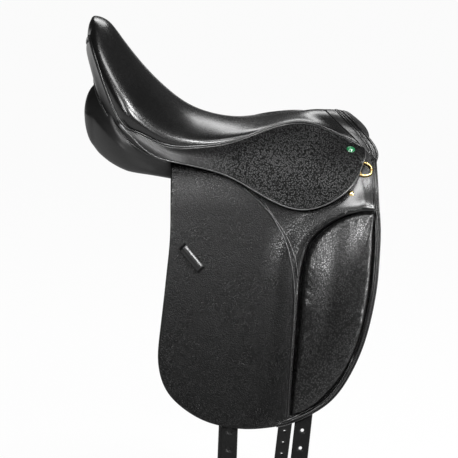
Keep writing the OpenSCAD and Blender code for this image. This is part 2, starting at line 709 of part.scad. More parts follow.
tree();
head_arch();
arch_rivets();
seat_web();
seat_foam();
seat_cover();
cantle_facing();
pommel_facing();
gullet_lining();
panel(1);  // panel_left
panel(-1);  // panel_right
sweat_flap(1);  // sweat_flap_left
sweat_flap(-1);  // sweat_flap_right
flap_head(1);  // flap_head_left
flap_head(-1);  // flap_head_right
flap(1);  // flap_left
flap(-1);  // flap_right
knee_block(1);  // knee_block_left
knee_block(-1);  // knee_block_right
keeper(1);  // keeper_left
keeper(-1);  // keeper_right
skirt(1);  // skirt_left
skirt(-1);  // skirt_right
skirt_lobe(1);  // skirt_lobe_left
skirt_lobe(-1);  // skirt_lobe_right
saddle_nails();
flap_studs();
stirrup_bar(1);  // stirrup_bar_left
stirrup_bar(-1);  // stirrup_bar_right
bar_catch(1);  // bar_catch_left
bar_catch(-1);  // bar_catch_right
catch_pins();
bar_rivets();
billet_webs(1);  // billet_webs_left
billet_webs(-1);  // billet_webs_right
billet(1, front_billet_x, left_front_lean);  // front_billet_left
billet(-1, front_billet_x, front_lean);  // front_billet_right
billet(1, rear_billet_x, rear_lean);  // rear_billet_left
billet(-1, rear_billet_x, rear_lean);  // rear_billet_right
dee_ring(1);  // dee_ring_left
dee_ring(-1);  // dee_ring_right
dee_chape(1);  // dee_chape_left
dee_chape(-1);  // dee_chape_right
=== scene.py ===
# A dressage saddle seen from its right side, a little above, through a long lens.
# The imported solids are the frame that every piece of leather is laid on.
import math

import bpy
import numpy as np
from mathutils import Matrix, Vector
from mathutils.geometry import delaunay_2d_cdt


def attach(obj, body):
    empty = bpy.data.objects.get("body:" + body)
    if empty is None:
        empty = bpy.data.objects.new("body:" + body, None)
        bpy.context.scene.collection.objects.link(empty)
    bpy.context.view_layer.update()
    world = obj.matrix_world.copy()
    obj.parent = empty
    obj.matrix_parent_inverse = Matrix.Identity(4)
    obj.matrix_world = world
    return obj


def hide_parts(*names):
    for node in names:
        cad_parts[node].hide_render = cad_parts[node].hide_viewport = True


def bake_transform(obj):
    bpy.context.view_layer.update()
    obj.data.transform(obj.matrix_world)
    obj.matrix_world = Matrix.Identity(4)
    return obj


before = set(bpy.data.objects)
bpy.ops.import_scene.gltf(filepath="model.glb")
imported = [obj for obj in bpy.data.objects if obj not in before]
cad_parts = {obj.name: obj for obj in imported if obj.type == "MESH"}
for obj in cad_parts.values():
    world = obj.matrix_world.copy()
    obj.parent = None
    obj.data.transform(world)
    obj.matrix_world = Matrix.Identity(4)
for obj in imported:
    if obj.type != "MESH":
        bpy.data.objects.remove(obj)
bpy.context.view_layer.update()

scene = bpy.context.scene
lens = bpy.data.cameras.new("camera")
lens.sensor_width = 36
lens.lens = 116.4
camera = bpy.data.objects.new("camera", lens)
camera.location = (0, -2.285, 0.47)
camera.rotation_euler = (math.radians(76), 0, 0)
scene.collection.objects.link(camera)
scene.camera = camera


# ---- Tree --------------------------------------------------------------------
# The tree is the saddle's skeleton, one moulded shell of glass-filled plastic with a satin pebble
# from its mould. A riveted arch of forged steel keeps its head from spreading.
class Wire:
    """One value in a shader; sums on it add the Math nodes they need."""

    def __init__(self, tree, socket=None):
        self.tree, self.socket = tree, socket

    def node(self, kind, settings=None, inputs=None, out=0):
        made = self.tree.nodes.new(kind)
        for key, value in (settings or {}).items():
            setattr(made, key, value)
        self.feed(made, inputs or {})
        return Wire(self.tree, made.outputs[out])

    def feed(self, node, inputs):
        """Sets inputs of a node, each to a wire or to a plain value."""
        for key, value in inputs.items():
            if isinstance(value, Wire):
                self.tree.links.new(value.socket, node.inputs[key])
            else:
                node.inputs[key].default_value = value

    def maths(self, operation, a, b):
        return self.node("ShaderNodeMath", {"operation": operation}, {0: a, 1: b})

    def __add__(self, other):
        return self.maths("ADD", self, other)

    def __sub__(self, other):
        return self.maths("SUBTRACT", self, other)

    def __rsub__(self, other):
        return self.maths("SUBTRACT", other, self)

    def __mul__(self, other):
        return self.maths("MULTIPLY", self, other)

    __radd__ = __add__
    __rmul__ = __mul__

    def step(self, low, high):
        """Rises smoothly from 0 at low to 1 at high."""
        return self.node("ShaderNodeMapRange", {"interpolation_type": "SMOOTHSTEP"},
                         {"Value": self, "From Min": low, "From Max": high})

    def mix(self, a, b):
        """Colour a where this value is 0, b where it is 1."""
        return self.node("ShaderNodeMix", {"data_type": "RGBA"}, {0: self, 6: a, 7: b}, out=2)


def grey(level, warm=0.0):
    """Grey of a level, a little yellower where warm is above 0."""
    return (level * (1 + warm), level, level * (1 - warm), 1)


def noise(place, size, detail=3.0):
    """Soft clouds with lumps of a size in metres."""
    return place.node("ShaderNodeTexNoise", None,
                      {"Vector": place, "Scale": 1 / size, "Detail": detail, "Roughness": 0.55})


def cells(place, size, feature="F1"):
    """Cells of a size in metres: the distance from a cell's middle, or another feature."""
    return place.node("ShaderNodeTexVoronoi", {"feature": feature}, {"Vector": place, "Scale": 1 / size})


def surface(name):
    """New material: the wire of its object coordinates, and a function that sets its shader and
    returns it."""
    material = bpy.data.materials.new(name)
    material.use_nodes = True
    tree = material.node_tree
    shader = tree.nodes["Principled BSDF"]
    place = Wire(tree).node("ShaderNodeTexCoord", out="Object")

    def dress(relief, depth, **sockets):
        sockets["Normal"] = place.node("ShaderNodeBump", None,
                                       {"Strength": 1.0, "Distance": depth, "Height": relief})
        place.feed(shader, sockets)
        return material

    return place, dress


place, dress = surface("moulded_tree")
pits = cells(place, 0.0016)
flow = noise(place, 0.03)
tree_plastic = dress(pits * -0.5 + flow * 0.3, 0.0002, **{
    "Base Color": flow.mix(grey(0.022), grey(0.04)), "Roughness": 0.5 + 0.2 * flow})

place, dress = surface("forged_steel")
scale_marks = noise(place, 0.004)
brush = noise(place.node("ShaderNodeMapping", None, {"Vector": place, "Scale": (0.1, 1, 1)}), 0.0006)
steel = dress(scale_marks * 0.4 + brush * 0.6, 0.00008, Metallic=1.0, **{
    "Base Color": scale_marks.mix(grey(0.42), grey(0.6)), "Roughness": 0.28 + 0.25 * scale_marks})


def paint(material, *nodes):
    """Gives a material to solids of the frame that show as they are."""
    for node in nodes:
        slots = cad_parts[node].data.materials
        for i in range(len(slots)):
            slots[i] = material
        if not slots:
            slots.append(material)


paint(tree_plastic, "tree")
paint(steel, "head_arch", "arch_rivets")


# ---- Stirrup bars ------------------------------------------------------------
# A forged bar is riveted to each side of the tree for the stirrup leather, with a catch hinged on a
# pin at its open end.
SIDES = (("left", 1), ("right", -1))
paint(steel, "catch_pins", "bar_rivets", *(f"{part}_{name}" for part in ("stirrup_bar", "bar_catch")
                                           for name, _ in SIDES))


# ---- Seat web, billet webs and foam ------------------------------------------
# Woven webbing is stretched along the tree under a crowned pad of seat foam, and short webs hang
# down each side of the tree to carry the girth billets.
MM = 0.001


def mix(a, b, t):
    """The value a share t of the way from a to b."""
    return a + (b - a) * t


def ease(a, b, x):
    """Rises smoothly from 0 at a to 1 at b."""
    t = np.clip((np.asarray(x, float) - a) / (b - a), 0, 1)
    return t * t * (3 - 2 * t)


def unit(v):
    return v / np.maximum(np.linalg.norm(v, axis=-1, keepdims=True), 1e-9)


def curve(points):
    """Smooth line through points, as a function of the place counted in points."""
    p = np.array(points, float)
    n = len(p)
    ends = np.arange(n)
    near = np.diag(np.full(n, 4.0)) + np.diag(np.ones(n - 1), 1) + np.diag(np.ones(n - 1), -1)
    near[0, 0] = near[-1, -1] = 2
    slopes = np.linalg.solve(near, 3 * (p[np.minimum(ends + 1, n - 1)] - p[np.maximum(ends - 1, 0)]))

    def at(t):
        t = np.clip(np.asarray(t, float), 0, n - 1)
        i = np.minimum(t.astype(int), n - 2)
        u = (t - i)[..., None]
        a, b, ma, mb = p[i], p[i + 1], slopes[i], slopes[i + 1]
        return (a * (1 + 2 * u) * (1 - u) ** 2 + ma * u * (1 - u) ** 2
                + b * u * u * (3 - 2 * u) + mb * u * u * (u - 1))

    return at


def table(rows):
    """Smooth columns of a table, as a function of its first column."""
    line = curve([r[1:] for r in rows])
    first = [r[0] for r in rows]
    return lambda x: line(np.interp(x, first, np.arange(len(first))))


def make(name, points, faces, material, slot, body=None, side=1, stands_for=(), bend=None):
    """Piece from a closed mesh in millimetres, drawn for the left side and mirrored for the right,
    with its faces turned outwards."""
    points = np.asarray(points, float).reshape(-1, 3) * (MM, MM * side, MM)
    faces = [tuple(int(i) for i in f) for f in faces]
    fans = np.array([(f[0], f[k], f[k + 1]) for f in faces for k in range(1, len(f) - 1)])
    if np.einsum("ij,ij", points[fans[:, 0]], np.cross(points[fans[:, 1]], points[fans[:, 2]])) < 0:
        faces = [f[::-1] for f in faces]
    data = bpy.data.meshes.new(name)
    data.from_pydata([tuple(p) for p in points], [], faces)
    data.shade_smooth()
    data.materials.append(material)
    piece = bpy.data.objects.new(name, data)
    scene.collection.objects.link(piece)
    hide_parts(*stands_for)
    if bend:
        a, b, start, end = bend
        [c * MM for c in (start[0], start[1] * side, start[2])]
        [c * MM for c in (end[0], end[1] * side, end[2])]
        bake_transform(piece)
    elif body:
        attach(piece, body)
    return piece


def facing_out(grid):
    """Outward direction at each point of a grid of rows running down and columns to the right."""
    return unit(np.cross(np.gradient(grid, axis=0), np.gradient(grid, axis=1)))


def hide(grid, thick, rim=None):
    """Closed sheet of leather under a grid: its points and faces. rim is the distance from the
    cut edge, over which the edge is rounded."""
    m, n = grid.shape[:2]
    out = facing_out(grid)
    drop = np.zeros((m, n))
    if rim is not None:
        r = thick / 2
        drop = r - np.sqrt(np.maximum(0, r * r - np.maximum(0, r - rim) ** 2))
    top = grid - out * drop[..., None]
    under = grid - out * (thick - drop)[..., None]
    k = m * n
    at = np.arange(k).reshape(m, n)
    a, b, c, d = at[:-1, :-1], at[:-1, 1:], at[1:, 1:], at[1:, :-1]
    faces = list(zip(a.ravel(), d.ravel(), c.ravel(), b.ravel()))
    faces += list(zip(a.ravel() + k, b.ravel() + k, c.ravel() + k, d.ravel() + k))
    ring = np.concatenate([at[0, :], at[1:, -1], at[-1, -2::-1], at[-2:0:-1, 0]])
    turn = np.roll(ring, -1)
    faces += list(zip(ring, turn, turn + k, ring + k))
    return np.concatenate([top.reshape(-1, 3), under.reshape(-1, 3)]), faces


def join(parts):
    """Several meshes as one."""
    points, faces = [], []
    for p, f in parts:
        start = sum(map(len, points))
        faces += [tuple(i + start for i in face) for face in f]
        points.append(np.asarray(p).reshape(-1, 3))
    return np.concatenate(points), faces


# Along x: height of the tree in the middle and at its edge, and half its width.
TREE_EDGE_Y, TREE_T = 88, 8
tree_row = table([[-205, 216, 165, 34], [-190, 206, 157, 66], [-165, 176, 127, 96], [-130, 132, 100, 108],
                  [-90, 87, 67, 104], [-50, 61, 49, 90], [-10, 53, 43, 80], [30, 55, 27, 86],
                  [60, 61, 4, 92], [110, 73, 4, 92], [155, 79, 4, 92], [184, 80, 16, 84]])


def tree_z(x, y):
    """Height of the tree's upper face."""
    k = tree_row(x)
    return k[..., 0] + (k[..., 1] - k[..., 0]) * (y / TREE_EDGE_Y) ** 2


def tree_under(x, y):
    """Height of its lower face."""
    fall = (tree_z(x + 2, y) - tree_z(x - 2, y)) / 4
    lean = (tree_z(x, y + 2) - tree_z(x, y - 2)) / 4
    return tree_z(x, y) - TREE_T * np.sqrt(1 + fall ** 2 + lean ** 2)


place, dress = surface("woven_web")
spun = place.node("ShaderNodeTexWave", {"bands_direction": "X"},
                  {"Vector": place, "Scale": 320.0, "Distortion": 1.5, "Detail Scale": 3.0})
weft = place.node("ShaderNodeTexWave", {"bands_direction": "Z"},
                  {"Vector": place, "Scale": 420.0, "Distortion": 1.0})
weave = spun * weft
webbing = dress(weave, 0.0004, **{"Base Color": weave.mix(grey(0.035), grey(0.1, 0.05)),
                                  "Roughness": 0.95 - 0.2 * weave})
WEB_T, WEB_RISE, WEB_HALF, WEB_STEPS = 1.6, 2.8, 13, 30
x, y = np.meshgrid(np.linspace(130, -150, 60), np.linspace(34, -34, 15), indexing="ij")
web = hide(np.stack([x, y, tree_z(x, y) + WEB_RISE], -1), WEB_T)
make("seat_web_strap", *web, webbing, "webbing", "root", stands_for=["seat_web"])

WEB_LINES = {146: [[97, 1], [108, -8], [122, -20], [136.8, -38], [138.8, -45]],
             12: [[84.5, 43], [98, 29], [114, 8], [124, -16], [136.8, -38], [138.8, -45]]}
webs = []
for web_x, line in WEB_LINES.items():
    drop = curve(line)(np.linspace(0, len(line) - 1, WEB_STEPS))
    webs.append(hide(np.stack([
        np.stack([np.full(WEB_STEPS, web_x + across), drop[:, 0], drop[:, 1]], -1)
        for across in np.linspace(WEB_HALF, -WEB_HALF, 7)], 1), WEB_T))
webs = join(webs)
for name, side in SIDES:
    make(f"billet_web_straps_{name}", *webs, webbing, "webbing", "root", side, [f"billet_webs_{name}"])

# From pommel to cantle: the seat's middle (x, z), the top of its roll and its seam (x, y, z each).
seat_line = curve([
    [150, 92, 195, 62, 55, 202, 69, 46], [130, 92, 163, 52, 70, 170, 58, 62],
    [106, 88, 118, 45, 84, 126, 52, 79], [80, 83, 80, 50, 81, 82, 54, 79],
    [50, 78, 46, 66, 74, 44, 72, 70], [10, 78.5, 0, 84, 65, 0, 87, 57],
    [-30, 86, -46, 101, 62, -50, 102, 53], [-66, 101, -92, 121, 73, -96, 118, 59],
    [-100, 127, -130, 128, 103, -134, 126, 78], [-132, 160, -156, 117, 138, -163, 121, 99],
    [-162, 199, -183, 92, 178, -194, 90, 170], [-184, 228, -198, 55, 217, -209, 54, 208],
    [-203, 237, -205, 30, 233, -213, 34, 209], [-212, 231, -213, 18, 228, -216, 22, 203],
    [-217, 199, -217, 9, 199, -217, 11, 198.5]])
SEAT_END = 14
CROWN, CROWN_SQUARED = 0.8, 0.64


def seat_point(t, s):
    """Outer face of the seat: t runs from pommel to cantle, s from 1 at the left seam to -1."""
    k = seat_line(t)
    a = np.abs(s)[..., None]
    centre = np.stack([k[..., 0], np.zeros(k.shape[:-1]), k[..., 1]], -1)
    roll, seam_at = k[..., 2:5], k[..., 5:8]
    u = np.minimum(a / CROWN, CROWN)
    crown = centre + (roll - centre) * np.concatenate([u * u, u, u * u], -1)
    v = np.clip((a - CROWN_SQUARED) / (1 - CROWN_SQUARED), 0, 1)
    way = unit((roll - centre) * (1.6, 1, 1.6))
    start = centre + (roll - centre) * (CROWN_SQUARED, CROWN, CROWN_SQUARED)
    reach = np.linalg.norm(seam_at - roll, axis=-1, keepdims=True)
    corner = roll + unit((roll - centre) * (2, 1, 2)) * 0.55 * reach
    knee = start + way * np.linalg.norm(corner - start, axis=-1, keepdims=True)
    rolled = (1 - v) ** 2 * start + 2 * v * (1 - v) * knee + v * v * seam_at
    point = np.where(a <= CROWN_SQUARED, crown, rolled)
    point[..., 1] *= np.sign(s)
    return point


def seam(t):
    """The seat's left seam, where the skirt is set in."""
    return seat_line(t)[..., 5:8]


place, dress = surface("seat_foam")
pores = cells(place, 0.0012)
foam = dress(pores, 0.0004, **{"Base Color": pores.mix((0.42, 0.36, 0.2, 1), (0.62, 0.56, 0.36, 1)),
                               "Roughness": 0.95})
FOAM_INSET, FOAM_RISE, FOAM_LEAST_T = 2.8, 5.2, 3
t, s = np.meshgrid(np.linspace(0, 11.9, 70), np.linspace(0.7, -0.7, 41), indexing="ij")
top = seat_point(t, s)
top -= facing_out(top) * FOAM_INSET
under = top.copy()
under[..., 2] = np.minimum(tree_z(top[..., 0], top[..., 1]) + FOAM_RISE, top[..., 2] - FOAM_LEAST_T)
points, faces = hide(top, 1)
points[t.size:] = under.reshape(-1, 3)
pad = make("seat_pad", points, faces, foam, "foam", "root", stands_for=["seat_foam"])


# ---- Gullet lining and panels ------------------------------------------------
# Two leather bags stuffed with wool lie along the horse's back, with a leather-lined channel between
# them. Each fits under the tree and is gathered to a round end below the cantle.
def leather(name, tone, shine, grain, depth, crease=0.5, painted_glint_on_grain=0.5, gloss=0.5, polish=0.0, wax=0.22,
            smooth=None):
    """Black leather of a tone and a roughness, with pebbles of a size and a depth in metres. crease is
    how deep the lines between them are, painted_glint_on_grain how far their tops are painted pale,
    partly the grain's own colour and partly a painted glint, gloss how strong the shine is, polish how
    far the tops are rubbed up and wax how rough that polish is. smooth(place) is 1 where the grain is
    stretched out and all of it is polished."""
    place, dress = surface(name)
    warp = place.node("ShaderNodeTexNoise", None,
                      {"Vector": place, "Scale": 0.5 / grain, "Detail": 2.0}, out=1)
    shifted = place.node("ShaderNodeVectorMath", {"operation": "MULTIPLY_ADD"},
                         {0: warp, 1: (grain * 0.9,) * 3, 2: place})
    pebble = 1 - cells(shifted, grain)
    valley = 1 - cells(shifted, grain, "DISTANCE_TO_EDGE").step(0.0, 0.25)
    pull = noise(place, 0.05, 2)
    pore = noise(place, 0.0006, 2)
    if smooth is not None:
        worn = smooth(place)
        valley = valley * (1 - worn)
        pebble = pebble * (1 - 0.9 * worn)
        pull = pull - 0.4 * worn
    relief = pebble * 0.6 - valley * crease + pore * 0.2
    speck = (pebble + 0.2 * noise(place, grain * 2, 2) - 0.1).step(0.3, 0.8) * (1 - valley)
    rubbed = speck * polish if smooth is None else speck * polish * (1 - worn) + worn
    # The pebble tops are painted paler than the rest of the grain: partly its own colour, partly a painted
    # glint.
    return dress(relief, depth, **{
        "Specular IOR Level": gloss, "Coat Weight": rubbed, "Coat Roughness": wax,
        "Base Color": (speck * painted_glint_on_grain).mix(grey(tone * 0.5), grey(tone * 3)),
        "Roughness": shine + 0.08 * valley + 0.14 * (pull - 0.5)})


panel_leather = leather("panel_leather", 0.002, 0.4, 0.0018, 0.00004, crease=0.3)
LINING_T, LINING_GAP = 1.6, 1.8
x, y = np.meshgrid(np.linspace(152, -182, 70), np.linspace(29, -29, 17), indexing="ij")
lining = hide(np.stack([x, y, tree_under(x, y) - LINING_GAP], -1), LINING_T)
make("gullet_leather", *lining, panel_leather, "panel_leather", "root", stands_for=["gullet_lining"])

# Along x: the panel's fullest point (y, z), its lowest (y, z) and its base's height at the channel.
panel_row = table([[-205, 112, 95, 104, 50, 76], [-180, 124, 70, 112, 32, 60], [-150, 131, 46, 116, 18, 44],
                   [-110, 112, 24, 102, 8, 32], [-60, 104, 12, 96, -2, 22], [0, 106, 4, 96, -10, 18],
                   [60, 114, -20, 100, -38, 16], [110, 138.2, -58, 116, -72, 14],
                   [160, 127, -62, 110, -80, 14], [195, 116, -40, 98, -64, 20]])
PANEL_REAR, PANEL_FRONT, PANEL_ROUND, PANEL_INNER = -219, 204, 16, 30


def panel_top(x, y):
    """Height of the panel's top, which fits under the tree and drops away at the head."""
    return (np.minimum(tree_under(x, y) - 1.2, 140 - 0.5 * np.maximum(0, y - 50))
            - 13.4 * ease(142, 152, x))


def panel_ring(x):
    """Sixteen points round the panel: its top from the channel outwards, its side, base and wall."""
    side_y, side_z, low_y, low_z, inner_z = np.moveaxis(panel_row(x), -1, 0)
    wide = np.minimum(tree_row(np.clip(x, -205, 184))[..., 2] + 2, side_y - 10)

    def at(y, z):
        return np.stack([x, y, z], -1)

    across = [mix(PANEL_INNER, wide, u) for u in (0, 0.25, 0.5, 0.75, 1)]
    top = [at(y, panel_top(x, y)) for y in across]
    bulge, low = at(side_y, side_z), at(low_y, low_z)
    full = np.stack([0 * x, mix(9, 2, ease(-110, -60, x)), mix(5, 0, ease(-110, -60, x))], -1)
    flank = [mix(top[4], bulge, u) + full * math.sin(math.pi * u) for u in (0.3, 0.6, 0.85)]
    base = [at(mix(low_y, PANEL_INNER + 6, u), mix(low_z, inner_z, u) - 6 * math.sin(math.pi * u))
            for u in (0.25, 0.5, 0.75)]
    wall = [at(PANEL_INNER + 5 + 0 * x, inner_z + 2),
            at(PANEL_INNER + 1 + 0 * x, mix(inner_z, top[0][..., 2], 0.5))]
    return np.stack(top + flank + [bulge, mix(bulge, low, 0.5) + (0, 3, -3), low] + base + wall, -2)


def round_loop(ring, steps):
    """Smooth closed line through the points of a ring."""
    n = ring.shape[-2]
    u = np.linspace(0, n, n * steps, endpoint=False)
    i = u.astype(int)
    f = (u - i)[:, None]
    a, b, c, d = (ring[..., (i + k) % n, :] for k in (-1, 0, 1, 2))
    return 0.5 * (2 * b + (c - a) * f + (2 * a - 5 * b + 4 * c - d) * f ** 2
                  + (3 * b - a - 3 * c + d) * f ** 3)


def drawn(x, length):
    """Share of its width that the bag keeps at x, where its rear end is gathered over a length."""
    past = np.maximum(PANEL_REAR + length - x, x - PANEL_FRONT + PANEL_ROUND)
    share = past / np.where(x < 0, length, PANEL_ROUND)
    return np.sqrt(np.maximum(0.002, 1 - np.clip(share, 0, 1) ** 2))[:, None, None]


def tube_faces(m, n):
    """Faces of a closed tube of m rings with n points each."""
    at = np.arange(m * n).reshape(m, n)
    a, b = at[:-1], np.roll(at[:-1], -1, 1)
    c, d = np.roll(at[1:], -1, 1), at[1:]
    faces = list(zip(a.ravel(), b.ravel(), c.ravel(), d.ravel()))
    return faces + [tuple(at[0][::-1]), tuple(at[-1])]


rear_end, front_end = PANEL_REAR + PANEL_ROUND, PANEL_FRONT - PANEL_ROUND
turn = np.linspace(0.02, 0.48, 12) * math.pi
x = np.concatenate([PANEL_REAR + PANEL_ROUND * (1 - np.cos(turn)),
                    np.linspace(rear_end + 2, front_end - 2, 70),
                    PANEL_FRONT - PANEL_ROUND * (1 - np.cos(turn[::-1]))])
ring = panel_ring(np.clip(x, rear_end, front_end))
GATHER_WIDE, GATHER_HIGH = 70, 24
keeps = np.concatenate([drawn(x, GATHER_WIDE), drawn(x, GATHER_WIDE), drawn(x, GATHER_HIGH)], -1)
ring = mix(ring.mean(-2, keepdims=True), ring, keeps)
ring[..., 0] = x[:, None]
bag = round_loop(ring, 6)
for name, side in SIDES:
    panel = make(f"panel_bag_{name}", bag, tube_faces(*bag.shape[:2]), panel_leather, "panel_leather",
                 "root", side, [f"panel_{name}"])


# ---- Sweat flaps -------------------------------------------------------------
# A plain leather under-flap on each side keeps the billets off the horse, cut a little shorter than
# the flap and lying beside the panel.
def left_of(loop):
    """Direction to the left at each point of a closed line."""
    along = unit(np.roll(loop, -1, 0) - np.roll(loop, 1, 0))
    return np.stack([-along[:, 1], along[:, 0]], -1)


def distance(points, line, closed=False):
    """Distance of each point from a line of points."""
    a = line if closed else line[:-1]
    b = np.roll(line, -1, 0) if closed else line[1:]
    best = np.full(len(points), 1e9)
    for p, q in zip(a, b):
        d = q - p
        t = np.clip(((points - p) @ d) / max(d @ d, 1e-9), 0, 1)
        best = np.minimum(best, np.linalg.norm(points - p - t[:, None] * d, axis=1))
    return best


def inside(points, outline):
    """Whether each point lies inside a closed line."""
    found = np.zeros(len(points), bool)
    for (px, py), (qx, qy) in zip(outline, np.roll(outline, -1, 0)):
        crosses = (py > points[:, 1]) != (qy > points[:, 1])
        found ^= crosses & (points[:, 0] < (qx - px) * (points[:, 1] - py) / (qy - py + 1e-12) + px)
    return found


def cut(outline, spacing, rims, marks=()):
    """Pattern cut from leather: its points, its triangles, the order of its edge and each point's
    distance from the edge. rims are distances at which rows of points follow the edge; marks are
    lines that the triangles keep to."""
    inward = left_of(outline)
    inner = []
    for r in rims:
        row = outline + inward * r
        inner.append(row[(distance(row, outline, True) > r * 0.93) & inside(row, outline)])
    low, high = outline.min(0), outline.max(0)
    xs = np.arange(low[0], high[0], spacing)
    ys = np.arange(low[1], high[1], spacing * 0.87)
    gx, gy = np.meshgrid(xs, ys)
    gx = gx + (np.arange(len(ys)) % 2)[:, None] * spacing / 2
    lattice = np.stack([gx.ravel(), gy.ravel()], -1)
    keep = distance(lattice, outline, True) > max(rims) + spacing * 0.45
    for line in marks:
        keep &= distance(lattice, line) > spacing * 0.4
    lattice = lattice[keep & inside(lattice, outline)]
    points = np.concatenate([outline, *inner, *marks, lattice])
    n = len(outline)
    edges = [(i, (i + 1) % n) for i in range(n)]
    start = n + sum(map(len, inner))
    for line in marks:
        edges += [(start + i, start + i + 1) for i in range(len(line) - 1)]
        start += len(line)
    made = delaunay_2d_cdt([Vector(p) for p in points], edges, [tuple(range(n))], 1, 1e-5)
    flat = np.array([tuple(v) for v in made[0]])
    faces = np.array(made[2])
    where = {}
    for new, olds in enumerate(made[3]):
        for old in olds:
            where[old] = new
    return flat, faces, [where[i] for i in range(n)], distance(flat, outline, True)


def face_out(face, p, e):
    """Outward direction of a face at points of its pattern, from steps of e to each side."""
    return unit(np.cross(face(p + (e, 0)) - face(p - (e, 0)), face(p + (0, e)) - face(p - (0, e))))


def lay(pattern, face, thick, height=None, round_edge=True):
    """Closed sheet made by laying a pattern on a face given as a function of the pattern's plane."""
    flat, triangles, edge, rim = pattern
    base = face(flat)
    out = face_out(face, flat, 0.25)
    rise = np.zeros(len(flat)) if height is None else height(flat)
    r = thick / 2 if round_edge else 1e-6
    drop = r - np.sqrt(np.maximum(0, r * r - np.maximum(0, r - rim) ** 2))
    top = base + out * (rise - drop)[:, None]
    under = base + out * (drop - thick)[:, None]
    k = len(flat)
    faces = [tuple(t) for t in triangles] + [tuple(i + k for i in t[::-1]) for t in triangles]
    n = len(edge)
    faces += [(edge[(i + 1) % n], edge[i], edge[i] + k, edge[(i + 1) % n] + k) for i in range(n)]
    return np.concatenate([top, under]), faces


def even(line, pitch):
    """The same line with points at an even pitch."""
    line = np.asarray(line, float)
    run = np.concatenate([[0], np.cumsum(np.linalg.norm(np.diff(line, axis=0), axis=1))])
    at = np.linspace(0, run[-1], max(2, int(round(run[-1] / pitch)) + 1))
    return np.stack([np.interp(at, run, line[:, i]) for i in range(line.shape[1])], -1)


# The flap is drawn in its own plane, as x and the way down from its bend.
FLAP_TILT = math.radians(15.6)
BEND_Z, BEND_Y, FLAP_DROP = -38, 148, 309
flap_front = [[223, 0], [224, 30], [222, 65], [218, 105], [209, 150], [195, 195], [172, 240], [140, 275],
              [95, 298], [62, 306]]
flap_rear = [[-87, 0], [-88, 40], [-92, 80], [-97, 125], [-103, 175], [-105, 210], [-98, 242], [-78, 270],
             [-40, 295], [0, 306]]
hem = curve(flap_front + [[31, 308.5]] + flap_rear[::-1])(np.linspace(0, 20, 400))


def flap_line(z):
    """How far out the hanging flap is at a height, without its swell."""
    return BEND_Y + math.tan(FLAP_TILT) * (BEND_Z - z)


SWEAT_T, SWEAT_BEHIND, SWEAT_TOP, SWEAT_LOW, SWEAT_PITCH = 3, 12, 12, 299, 5
sweat_cut = even(hem, SWEAT_PITCH)
sweat_cut = np.concatenate([sweat_cut, even([sweat_cut[-1], sweat_cut[0]], SWEAT_PITCH)[1:-1]])


def sweat_face(p):
    """The flap's pattern drawn in a little on all sides, some way behind it."""
    z = BEND_Z - mix(SWEAT_TOP, SWEAT_LOW, p[:, 1] / FLAP_DROP)
    return np.stack([p[:, 0] + mix(2, 10, (223 - p[:, 0]) / 310), flap_line(z) - SWEAT_BEHIND, z], -1)


sweat = lay(cut(sweat_cut, 12, (0.4, 0.9, 1.5)), sweat_face, SWEAT_T)
for name, side in SIDES:
    make(f"sweat_leather_{name}", *sweat, panel_leather, "panel_leather", "root", side,
         [f"sweat_flap_{name}"])


# ---- Girth billets -----------------------------------------------------------
# Long straps of strap leather hang behind each flap for the girth buckles, punched with a row of
# round holes, creased along both edges and cut to a round end.
strap_leather = leather("strap_leather", 0.003, 0.38, 0.0022, 0.00006, crease=0.4, gloss=0.2)
BILLET_W, BILLET_L, BILLET_T, BILLET_TOP, BILLET_BEHIND = 25, 640, 4, -34, 6
HOLE_R, HOLE_FIRST, HOLE_PITCH, HOLE_COUNT = 2.5, 45, 26.5, 11
# Each billet's side, the x that it hangs from and its lean to the rear in degrees.
BILLETS = {"front_billet_left": (1, 146, 4.6), "front_billet_right": (-1, 146, 6.5),
           "rear_billet_left": (1, 12, 2), "rear_billet_right": (-1, 12, 2)}
half = BILLET_W / 2
tip = [(-half * math.cos(a), -BILLET_L - half * math.sin(a)) for a in np.linspace(0, math.pi, 25)]
strap = even([(half, -BILLET_L), (half, 3), (-half, 3), (-half, -BILLET_L)], 6)
strap = np.concatenate([strap[:-1], tip[:-1]])
holes = [np.array([(HOLE_R * math.cos(a), -BILLET_L + HOLE_FIRST + HOLE_PITCH * i + HOLE_R * math.sin(a))
                   for a in np.linspace(0, 2 * math.pi, 21)]) for i in range(HOLE_COUNT)]
pattern = cut(strap, 5, (0.5, 1.1, 2), holes)


def billet_height(p):
    """Creased line along both edges, fading out below the stitching."""
    edge = half - np.abs(p[:, 0])
    return -0.5 * np.exp(-((edge - 3) / 0.7) ** 2) * ease(-6, -20, p[:, 1])


def open_holes(faces, flat, rings):
    """Faces of a sheet with its holes opened and their walls closed."""
    k = len(flat)
    kept = []
    for f in faces:
        where = flat[[i % k for i in f]].mean(0)
        if len(f) != 3 or not any(np.linalg.norm(where - r[:-1].mean(0)) < HOLE_R for r in rings):
            kept.append(f)
    for r in rings:
        index = [int(np.argmin(np.linalg.norm(flat - p, axis=1))) for p in r[:-1]]
        n = len(index)
        kept += [(index[i], index[(i + 1) % n], index[(i + 1) % n] + k, index[i] + k) for i in range(n)]
    return kept


def billet_face(p, hang_x, lean):
    """Face of a strap that hangs behind the flap from hang_x, leaning to the rear."""
    c, s = math.cos(lean), math.sin(lean)
    across, up = -p[:, 0] * c + p[:, 1] * s, p[:, 0] * s + p[:, 1] * c
    return np.stack([hang_x + across, flap_line(BILLET_TOP) - BILLET_BEHIND - up * math.sin(FLAP_TILT),
                     BILLET_TOP + up * math.cos(FLAP_TILT)], -1)


for name, (side, hang_x, lean) in BILLETS.items():
    points, faces = lay(pattern, lambda p: billet_face(p, hang_x, math.radians(lean)), BILLET_T,
                        billet_height)
    make(f"{name}_strap", points, open_holes(faces, pattern[0], holes), strap_leather, "strap_leather",
         name, side, [name])
